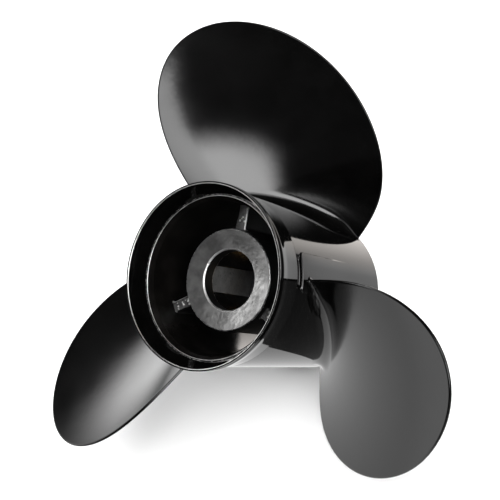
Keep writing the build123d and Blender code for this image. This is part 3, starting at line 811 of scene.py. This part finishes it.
def build_barrel():
    profile = rounded(BARREL_POINTS, lambda start, end: 3.0 if abs(end[0] - start[0]) < 1.2 else 0.6)
    outside = (profile[:, 0] > 54.9) & (profile[:, 1] > 25.25) & (profile[:, 1] < 139.4)

    def shape(radius, station, angle, _):
        shaped = np.where(outside[:, None], surface_radius(angle, station), radius)
        # the end face of the casting under the ring is rough from fettling
        end_face = (station < 13.4) & (radius > 52.6) & (radius < 54.2)
        rough = (noise2(angle / 360, (radius - 52) / 4, 300, 4, seed=5)
                 + 0.6 * noise2(angle / 360, (radius - 52) / 3, 170, 3, seed=6))
        dent = 0.10 * rough * smooth((radius - 52.75) / 0.35)
        return shaped, station - np.where(end_face, dent, 0)

    def pick(radius, station):
        if station < 13.1 and 52.55 < radius < 53.0:
            return LIP
        if station < 13.0 and radius >= 53.4:
            return SEAM
        if radius < 52.6 and 12.7 < station < 131:
            return BARREL_INSIDE
        return BARREL

    materials = [BARREL, LIP, SEAM, BARREL_INSIDE]
    verts, faces, normals = lathe(profile, BARREL_ANGLES, shape)
    make("barrel_skin", verts, faces, materials, "hub_barrel", normals,
         bands(profile, len(BARREL_ANGLES), materials, pick))


build_barrel()

# ------------------------------------------------------------------ diffuser ring


def flare_radius(station):
    aft = RING_SEAM - station
    return R_AFT + 0.085 * aft + 0.0022 * aft * aft


LIP_RADIUS = flare_radius(0.35)
# radius, station, corner radius
RING_POINTS = [
    (54.72, 25.18, 0.08), (R_AFT + 0.01, 25.18, 0.14),
    *((flare_radius(station), station, 0)
      for station in aranges((24.4, 4.6, -0.8), (4.4, 0.7, -0.3))),
    (LIP_RADIUS, 0.0, 0.42), (LIP_RADIUS - 1.65, 0.0, 0.5),
    (53.9, 12.15, 0.3), (53.9, 12.66, 0.1), (54.72, 12.66, 0.1)]


def build_ring():
    profile = rounded(RING_POINTS, lambda start, end: 1.2)
    angles = np.arange(0, 360, 1.0)

    def shape(radius, station, angle, normal_radius):
        uneven_lip = (0.030 * noise2(angle / 360, 0.3, 90, 2, seed=11)
                      + 0.02 * noise2(angle / 360, 0.6, 220, 2, seed=12))
        uneven_lip = smooth((1.2 - station) / 1.2) * uneven_lip * (normal_radius < 0.9)
        inner = smooth((station - 11.0) / 1.0) * (radius < 55.2)
        uneven_inner = 0.05 * noise2(angle / 360, (station - 11) / 3, 260, 3, seed=13)
        # the flare rolls in towards the lip
        roll = 0.5 * smooth((12.0 - station) / 9.0) - 0.9 * smooth((4.6 - station) / 3.6)
        return (radius + uneven_lip + inner * uneven_inner
                + smooth(normal_radius / 0.5) * roll, station)

    def pick(radius, station):
        if station < 0.5 and radius < LIP_RADIUS - 1.2:
            return LIP
        if station < 0.5 and radius > LIP_RADIUS - 0.42:
            return LIP_OUTER
        return RING

    materials = [RING, LIP, LIP_OUTER]
    verts, faces, normals = lathe(profile, angles, shape)
    make("diffuser_ring_skin", verts, faces, materials, "diffuser_ring", normals,
         bands(profile, len(angles), materials, pick))


build_ring()

# ------------------------------------------------------------------ inner hub, octagonal inside
FLAT_TURN, FLAT_PITCH = 4.3, 45.0      # angle of the first flat of the cavity, and from flat to flat
CAVITY_AFT, CAVITY_FORE = 42.0, 117.0
CAVITY_APOTHEM, CAVITY_DRAFT = 21.4, 1.5      # at the aft end, and taper in degrees
# radius, station, corner radius
HUB_POINTS = [(34.8, 126.0, 1.0), (27.6, 126.0, 0.5), (27.6, CAVITY_FORE, 0.3),
              (23.4, CAVITY_FORE, 0.2), (CAVITY_APOTHEM, CAVITY_AFT, 0.5), (20.0, CAVITY_AFT, 0.4),
              (20.0, 30.2, 1.1), (33.75, 30.2, 0.9)]


def hub_angles():
    """Whole degrees, with extra columns at the cavity's eight corners."""
    near_corner = np.array([-1.6, -0.9, -0.45, -0.15, 0.15, 0.45, 0.9, 1.6])
    corners = [(FLAT_TURN + FLAT_PITCH / 2 + FLAT_PITCH * i + near_corner) % 360 for i in range(8)]
    return np.unique(np.round(np.concatenate([np.arange(0, 360, 1.0)] + corners), 3))


def build_hub():
    profile = rounded(HUB_POINTS, lambda start, end: 0.45 if (
        abs(end[1] - start[1]) < 1.0 and start[1] < 32) else 2.5)
    angles = hub_angles()
    in_cavity = ((profile[:, 1] > CAVITY_AFT + 0.05) & (profile[:, 1] < CAVITY_FORE - 0.02)
                 & (profile[:, 0] < 23.6))

    def shape(radius, station, angle, _):
        apothem = CAVITY_APOTHEM + (station - CAVITY_AFT) * math.tan(math.radians(CAVITY_DRAFT))
        half = FLAT_PITCH / 2
        off_flat = np.radians(np.mod(angle - FLAT_TURN + half, FLAT_PITCH) - half)
        octagon = apothem / np.cos(off_flat)
        limit = apothem / math.cos(math.pi / 8) - 0.45      # beyond it the corners are eased
        octagon = np.minimum(octagon, limit + (octagon - limit) * 0.3)
        # hammered as-cast end face
        weight = (smooth((31.6 - station) / 0.8) * smooth((radius - 20.4) / 1.6)
                  * smooth((33.6 - radius) / 0.9))
        around, outwards = angle / 360, (radius - 18) / 18
        rough = (0.62 * noise2(around, outwards, 46, 6, seed=21)
                 + 0.55 * noise2(around, outwards, 84, 12, seed=22)
                 + 0.30 * noise2(around, outwards, 150, 20, seed=23))
        shaped = station + 0.085 * rough * weight
        # the end face is dished towards the hole
        shaped = shaped + 0.155 * np.clip(33.2 - radius, 0, None) * smooth((34.0 - shaped) / 3.4)
        # small nick in the rim of the hole
        nick = (np.exp(-((np.mod(angle - 301 + 180, 360) - 180) / 1.6) ** 2)
                * smooth((33.0 - station) / 2.0) * smooth((22.0 - radius) / 1.4))
        return np.where(in_cavity[:, None], octagon, radius), shaped + 0.35 * nick

    def pick(radius, station):
        if station < 31.4 and radius < 33.8:      # aft end face and its two rims
            return RIM if radius < 21.3 else HUB_EDGE if radius > 33.0 else CAST_FACE
        if radius < 20.7 and 41.55 < station < 42.3:      # fore edge of the hole
            return HUB_EDGE
        if radius < 24 and station > 41:
            return CAVITY
        return BORE

    # every second flat of the cavity is dark enamel, painted shade beside the lit bare flats
    materials = [BORE, CAST_FACE, CAVITY, RIM, CAVITY_PAINTED_SHADE, HUB_EDGE]
    zones = np.array(bands(profile, len(angles), materials, pick)).reshape(len(profile), -1)
    painted_shade_flats = np.abs((angles - FLAT_TURN + 45) % 90 - 45) >= 22.5
    zones[(zones == materials.index(CAVITY)) & painted_shade_flats] = materials.index(CAVITY_PAINTED_SHADE)
    verts, faces, normals = lathe(profile, angles, shape)
    make("inner_hub_skin", verts, faces, materials, "inner_hub", normals,
         zones.ravel())


build_hub()

# ------------------------------------------------------------------ ribs between hub and barrel
RIB_TURN = 7.5
RIB_HALF = 3.5                    # half thickness
RIB_AFT, RIB_FORE = 35.5, 124.0   # stations
RIB_EDGE_RADIUS = 0.95
# small raised marks on each aft end face: across, radius, height, size
MARKS = [
    [(0.4, 42.2, 0.5, 0.75), (-0.2, 41.2, 0.4, 0.6), (-1.3, 39.9, 0.5, 0.8),
     (2.1, 39.6, 0.45, 0.8), (2.7, 48.0, 0.5, 1.1), (3.4, 44.0, 0.25, 0.8)],
    [(0.2, 37.6, 0.55, 0.85), (1.6, 39.4, 0.4, 0.6), (-2.8, 36.9, 0.35, 1.1)],
    [(0.9, 37.6, 0.5, 0.8), (-0.4, 37.9, 0.5, 0.75), (1.0, 39.6, 0.4, 0.6),
     (-2.6, 37.2, 0.5, 0.9), (0.6, 42.4, 0.4, 0.6), (-1.4, 42.0, 0.5, 0.8),
     (-0.3, 42.3, 0.4, 0.6), (-0.8, 46.6, 0.4, 0.8), (-2.6, 46.8, 0.4, 0.8),
     (1.6, 46.6, 0.3, 0.6)]]


def rib_outline():
    """Cross-section as (across, radius): fillets at both ends and a gusset on the minus side."""
    quarter = np.linspace(0, math.pi / 2, 8)
    hub_fillet = [(RIB_HALF + 2.0 * (1 - math.sin(t)),
                   34.0 + 2.0 * (1 - math.cos(t)) - 0.25 * math.cos(t)) for t in quarter]
    barrel_fillet = [(RIB_HALF + 2.4 * (1 - math.cos(t)), 47.9 + 2.4 * math.sin(t))
                     for t in quarter[1:]]
    plus_side = hub_fillet + [(RIB_HALF, q) for q in np.linspace(37.0, 46.8, 9)] + barrel_fillet
    minus_side = [(-across, radius) for across, radius in reversed(barrel_fillet)]
    minus_side += [(-RIB_HALF, q) for q in np.linspace(46.8, 42.2, 5)]
    # the gusset slopes down to the hub with a slight sag
    top, foot = np.array([-RIB_HALF, 41.4]), np.array([-RIB_HALF - 7.2, 33.2])
    for t in np.linspace(0.0, 1.0, 12):
        sag = 0.9 * math.sin(math.pi * t)
        minus_side.append(tuple(top + (foot - top) * t + sag * np.array([0.73, -0.68])))
    return np.array([(RIB_HALF + 1.2, 32.0), *plus_side, (RIB_HALF + 2.0, 51.5),
                     (-RIB_HALF - 2.0, 51.5), *minus_side, (-RIB_HALF - 6.2, 31.4)])


def resample(points, count):
    """A closed outline resampled at even distances."""
    closed = np.vstack([points, points[:1]])
    distance = np.concatenate([[0], np.cumsum(np.hypot(*np.diff(closed, axis=0).T))])
    even = np.linspace(0, distance[-1], count, endpoint=False)
    return np.stack([np.interp(even, distance, closed[:, i]) for i in (0, 1)], -1)


def inner_grid(ring, step):
    """Grid points inside a closed ring and clear of it."""
    x, y = np.meshgrid(np.arange(ring[:, 0].min(), ring[:, 0].max(), step),
                       np.arange(ring[:, 1].min(), ring[:, 1].max(), step))
    grid = np.stack([x.ravel(), y.ravel()], -1)
    inside = np.zeros(len(grid), bool)
    for start, end in zip(ring, np.roll(ring, -1, 0)):
        crosses = (start[1] > grid[:, 1]) != (end[1] > grid[:, 1])
        rise = end[1] - start[1]
        rise = 1e-12 if abs(rise) < 1e-12 else rise
        at_x = start[0] + (grid[:, 1] - start[1]) / rise * (end[0] - start[0])
        inside ^= crosses & (grid[:, 0] < at_x)
    gap = np.min(np.hypot(grid[:, None, 0] - ring[None, :, 0],
                          grid[:, None, 1] - ring[None, :, 1]), axis=1)
    return grid[inside & (gap > 0.6 * step)]


def mark_height(across, radius, marks):
    return sum(height * np.exp(-(((across - x) ** 2 + (radius - y) ** 2) / size ** 2) ** 2)
               for x, y, height, size in marks)


def rib_mesh(turn, seed, marks):
    """A lofted outline with rounded ends and a rough, marked aft end face."""
    section = resample(rib_outline(), 190)
    count = len(section)
    tangent = np.roll(section, -1, 0) - np.roll(section, 1, 0)
    normal = unit(np.stack([tangent[:, 1], -tangent[:, 0]], -1))
    if ((section - section.mean(0)) * normal).sum() < 0:
        normal = -normal
    # no rounding at the foot and head, which stay inside the metal of hub and barrel
    fade = smooth((51.2 - section[:, 1]) / 1.5) * smooth((section[:, 1] - 32.5) / 1.0)

    def rough(across, radius):
        u, v = (across + 12) / 24, (radius - 30) / 24
        grain = noise2(u, v, 22, 22, seed) + 0.7 * noise2(u, v, 44, 44, seed + 1)
        return 0.07 * grain - mark_height(across, radius, marks)

    def aft_end(across):
        return RIB_AFT + 2.6 * smooth((-across - 3.7) / 1.0)      # the gusset starts further forward

    def inset(t):
        return section - normal * (RIB_EDGE_RADIUS * (1 - math.sin(t)) * fade)[:, None]

    loops = []                    # outline and its stations
    for t in np.linspace(0, math.pi / 2, 8):
        ring = inset(t)
        across, radius = ring.T
        loops.append((ring, aft_end(across) + RIB_EDGE_RADIUS * (1 - math.cos(t))
                      + rough(across, radius) * math.cos(t)))
    for station in np.linspace(42, 120, 12):
        loops.append((section, np.full(count, station)))
    for t in np.linspace(math.pi / 2, 0, 6):
        station = RIB_FORE - RIB_EDGE_RADIUS * (1 - math.cos(t))
        loops.append((inset(t), np.full(count, station)))
    points = [np.column_stack(loop) for loop in loops]
    faces = loft_faces(len(loops), count)

    # fill both ends with triangles over a grid
    total = len(loops) * count
    for end, step in ((0, 0.32), (len(loops) - 1, 1.6)):
        ring = loops[end][0]
        flat = np.vstack([ring, inner_grid(ring, step)])
        places, _, triangles, origins, *_ = delaunay_2d_cdt(
            [Vector(point) for point in flat.tolist()], [], [list(range(count))], 1, 1e-6)
        index, extra = [], []
        for (across, radius), origin in zip(places, origins):
            if origin and origin[0] < count:
                index.append(end * count + origin[0])
                continue
            station = RIB_FORE
            if end == 0:
                station = float(aft_end(across) + rough(np.array(across), np.array(radius)))
            index.append(total + len(extra))
            extra.append((across, radius, station))
        if extra:
            points.append(np.array(extra))
            total += len(extra)
        triangles = [tuple(index[i] for i in triangle) for triangle in triangles]
        # a cap must run against the side wall along their shared edge
        wall_edge = (end * count, end * count + 1) if end == 0 else (end * count + 1, end * count)
        edges = {edge for face in triangles for edge in zip(face, face[1:] + face[:1])}
        if wall_edge in edges:
            triangles = [tuple(reversed(face)) for face in triangles]
        faces += triangles
    across, radius, station = np.concatenate(points).T
    verts = turned(np.stack([across, station - ORIGIN_STATION, radius], -1), turn)
    return weld(verts, faces)[:2]


def rib_zone(centre, marks):
    """Material of a rib face from its centre, with the rib turned back upright."""
    across, y, radius = centre
    station = y + ORIGIN_STATION
    if station > 36.6:
        return BORE
    on_mark = station < 36.3 and mark_height(across, radius, marks) > 0.2
    # the raised marks are worn bare; the plus-side edge strip is bare metal as a painted highlight
    if on_mark or (across > 2.75 and radius > 34.2):
        return RIB_WEAR_AND_HIGHLIGHT
    return RIB_END


RIB_MATERIALS = [BORE, RIB_END, RIB_WEAR_AND_HIGHLIGHT]
for i, third in enumerate(THIRDS):
    turn = RIB_TURN + third
    verts, faces = rib_mesh(turn, 31 + i, MARKS[i])
    zones = [RIB_MATERIALS.index(rib_zone(turned(np.mean(verts[list(face)], 0), -turn), MARKS[i]))
             for face in faces]
    make(f"rib_{i + 1}_skin", verts, faces, RIB_MATERIALS, f"hub_rib_{i + 1}",
         face_materials=zones)

# ------------------------------------------------------------------ hub kit, in its CAD shape
for name, material, slot in (("drive_sleeve", POLYMER, "sleeve_polymer"),
                             ("torsion_bush", RUBBER, "bush_rubber"),
                             ("spline_adapter", BRASS, "adapter_brass")):
    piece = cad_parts[name]
    for material_slot in piece.material_slots:
        material_slot.material = material

# ------------------------------------------------------------------ camera, aft of the propeller
VIEW_YAW, VIEW_PITCH = 0.5936779, 0.1141176      # radians
# the shaft at station 0 in the camera's frame: right, down, ahead
VIEW_OFFSET = np.array([-31.9481, 15.8923, 613.6109])
LENS, SENSOR_WIDTH = 70.24032, 36


def build_camera():
    # the scene's axes in the camera's frame
    y_axis = np.array([math.sin(VIEW_YAW) * math.cos(VIEW_PITCH), math.sin(VIEW_PITCH),
                       math.cos(VIEW_YAW) * math.cos(VIEW_PITCH)])
    up = np.array([0, -1.0, 0])
    z_axis = unit(up - y_axis * (up @ y_axis))
    to_view = np.stack([np.cross(y_axis, z_axis), y_axis, z_axis], 1)
    place = np.array([0, -ORIGIN_STATION, 0]) - to_view.T @ VIEW_OFFSET
    camera = bpy.data.objects.new("camera", bpy.data.cameras.new("camera"))
    SCENE.collection.objects.link(camera)
    matrix = np.eye(4)
    matrix[:3] = np.column_stack([to_view[0], -to_view[1], -to_view[2], place * MM])
    camera.matrix_world = Matrix(matrix.tolist())
    camera.data.sensor_width = SENSOR_WIDTH
    camera.data.lens = LENS
    camera.data.clip_start, camera.data.clip_end = 0.01, 60
    SCENE.camera = camera


build_camera()
SCENE.view_settings.view_transform = "Standard"

# ------------------------------------------------------------------ studio: world as soft panels
# In degrees: azimuth (clockwise from +Y, seen from above) and half width, elevation and half
# height, softness in azimuth and in elevation; then radiance and warmth.
# A softness pair is (lower edge, upper edge).
PANELS = [
    (-45.0, 75.0, -35.0, 55.0, 5.0, 10.0, 1.0, 0.0),      # pale background sweep
    (-108.0, 10.0, -25.0, 12.0, 12.0, 14.0, 0.6, 0.0),    # its brighter left end
    (-5.0, 29.0, 33.5, 12.5, 10.0, (16.0, 12.0), 2.2, 1.0),      # its brighter, warmer top
    (94.0, 13.0, -56.0, 24.0, 6.0, 10.0, 1.0, 0.0),       # near side of the sweep
    (150.0, 35.0, -78.0, 10.0, 20.0, 14.0, 0.9, 0.0),     # table below the camera
    (-127.0, 11.0, 14.0, 11.0, 12.0, 12.0, 2.6, 0.0),     # small fill behind the camera
    (122.0, 13.0, -14.5, 15.0, (3.0, 12.0), (12.0, 3.0), 8.9, 0.0),      # right hand softbox
    (136.0, 23.0, 9.0, 8.5, 8.0, (2.0, 26.0), 6.6, 0.0),  # overhead strip on the camera side
    (-90.0, 16.0, 46.0, 18.0, 24.0, 20.0, 6.0, 0.0),      # left hand softbox
]
AMBIENT = (0.045, 0.045, 0.046)
BACKDROP = 1.05                   # white that only the camera sees


def panel_sides(nodes, value, half, softness):
    """Two soft steps that bound a panel in one direction."""
    low, high = softness if isinstance(softness, tuple) else (softness, softness)
    return [nodes.ramp(value, (math.radians(-half - low / 2), math.radians(-half + low / 2))),
            nodes.ramp(value, (math.radians(half + high / 2), math.radians(half - high / 2)))]


def build_world():
    world = bpy.data.worlds.new("studio")
    SCENE.world = world
    world.use_nodes = True
    world.node_tree.nodes.clear()
    nodes = Nodes(world.node_tree)
    axes = nodes.add("ShaderNodeSeparateXYZ")
    nodes.put(axes.inputs[0], nodes.add("ShaderNodeTexCoord").outputs["Generated"])
    azimuth = nodes.calc("ARCTAN2", axes.outputs[0], axes.outputs[1])
    elevation = nodes.calc("ARCSINE", axes.outputs[2])
    total = AMBIENT
    for centre, half_width, middle, half_height, soft_az, soft_el, radiance, warmth in PANELS:
        off_az = nodes.calc("SUBTRACT", azimuth, math.radians(centre))
        off_az = nodes.calc("WRAP", off_az, math.pi, -math.pi)
        off_el = nodes.calc("SUBTRACT", elevation, math.radians(middle))
        sides = (panel_sides(nodes, off_az, half_width, soft_az)
                 + panel_sides(nodes, off_el, half_height, soft_el))
        panel = nodes.calc("MULTIPLY", nodes.calc("MULTIPLY", *sides[:2]),
                           nodes.calc("MULTIPLY", *sides[2:]))
        tint = (1.0 + 0.06 * warmth, 1.0, 1.0 - 0.05 * warmth)
        total = [nodes.calc("ADD", total[i], nodes.calc("MULTIPLY", panel, radiance * tint[i]))
                 for i in range(3)]
    color = nodes.add("ShaderNodeCombineColor")
    for i in range(3):
        nodes.put(color.inputs[i], total[i])
    studio, backdrop = nodes.add("ShaderNodeBackground"), nodes.add("ShaderNodeBackground")
    nodes.put(studio.inputs[0], color.outputs[0])
    nodes.put(backdrop.inputs[0], grey(1))
    nodes.put(backdrop.inputs[1], BACKDROP)
    mixed = nodes.add("ShaderNodeMixShader")
    nodes.put(mixed.inputs[0], nodes.add("ShaderNodeLightPath").outputs["Is Camera Ray"])
    nodes.put(mixed.inputs[1], studio.outputs[0])
    nodes.put(mixed.inputs[2], backdrop.outputs[0])
    nodes.put(nodes.add("ShaderNodeOutputWorld").inputs[0], mixed.outputs[0])


build_world()

# ------------------------------------------------------------------ floor
# the plane through the tips of the two lower blades and the fore edge of the barrel
PIVOT_Y, PIVOT_Z = BARREL_FORE - ORIGIN_STATION, -R_FORE      # the fore edge's lowest point
FLOOR_HALF, FLOOR_GAP = 9, 0.0004      # metres


def floor_normal():
    blade = on_face(*outline(np.linspace(0.1, 0.9, 400)))
    points = np.concatenate([turned(blade, turn) for turn in THIRDS[1:]])
    # the floor runs aft and down from the pivot at this angle
    tilt = float(np.max(np.arctan2(PIVOT_Z - points[:, 2], PIVOT_Y - points[:, 1])))
    return Vector((0, -math.sin(tilt), math.cos(tilt)))


def floor_material():
    material, shader, nodes, coords = new_material("pale_floor")
    nodes.put(shader["Base Color"], grey(0.86))
    nodes.put(shader["Roughness"], 0.9)
    nodes.put(shader["Specular IOR Level"], 0.1)
    patch = nodes.noise(coords, scale=40.0)
    nodes.put(shader["Roughness"], nodes.ramp(patch, MIDDLE, to=(0.85, 0.95)))
    # seen from underneath the floor is clear, so the part can be looked at from every side
    mixed, clear = nodes.add("ShaderNodeMixShader"), nodes.add("ShaderNodeBsdfTransparent")
    nodes.put(mixed.inputs[0], nodes.add("ShaderNodeNewGeometry").outputs["Backfacing"])
    tree = material.node_tree
    nodes.put(mixed.inputs[1], tree.nodes["Principled BSDF"].outputs[0])
    nodes.put(mixed.inputs[2], clear.outputs[0])
    nodes.put(tree.nodes["Material Output"].inputs["Surface"], mixed.outputs[0])
    return material


def build_floor(normal):
    centre = Vector((0, PIVOT_Y, PIVOT_Z)) * MM - normal * FLOOR_GAP
    side = Vector((1, 0, 0))
    forward = normal.cross(side)
    mesh = bpy.data.meshes.new("floor")
    mesh.from_pydata([centre + side * (x * FLOOR_HALF) + forward * (y * FLOOR_HALF)
                      for x, y in ((-1, -1), (1, -1), (1, 1), (-1, 1))], [], [(0, 1, 2, 3)])
    floor = bpy.data.objects.new("floor", mesh)
    SCENE.collection.objects.link(floor)
    floor.visible_glossy = False      # the enamel mirrors the panels, not the shaded floor
    mesh.materials.append(floor_material())


def build_overhead(normal):
    """One broad light for the floor, not mirrored in the enamel."""
    light = bpy.data.lights.new("overhead", "AREA")
    light.shape = "RECTANGLE"
    light.size = light.size_y = 2.6
    light.energy = 75.0
    overhead = bpy.data.objects.new("overhead", light)
    SCENE.collection.objects.link(overhead)
    overhead.location = normal * 1.5 + Vector((0.5, 0.1, 0))
    overhead.rotation_euler = (-normal).to_track_quat("-Z", "Y").to_euler()
    overhead.visible_glossy = False


FLOOR_NORMAL = floor_normal()
build_floor(FLOOR_NORMAL)
build_overhead(FLOOR_NORMAL)
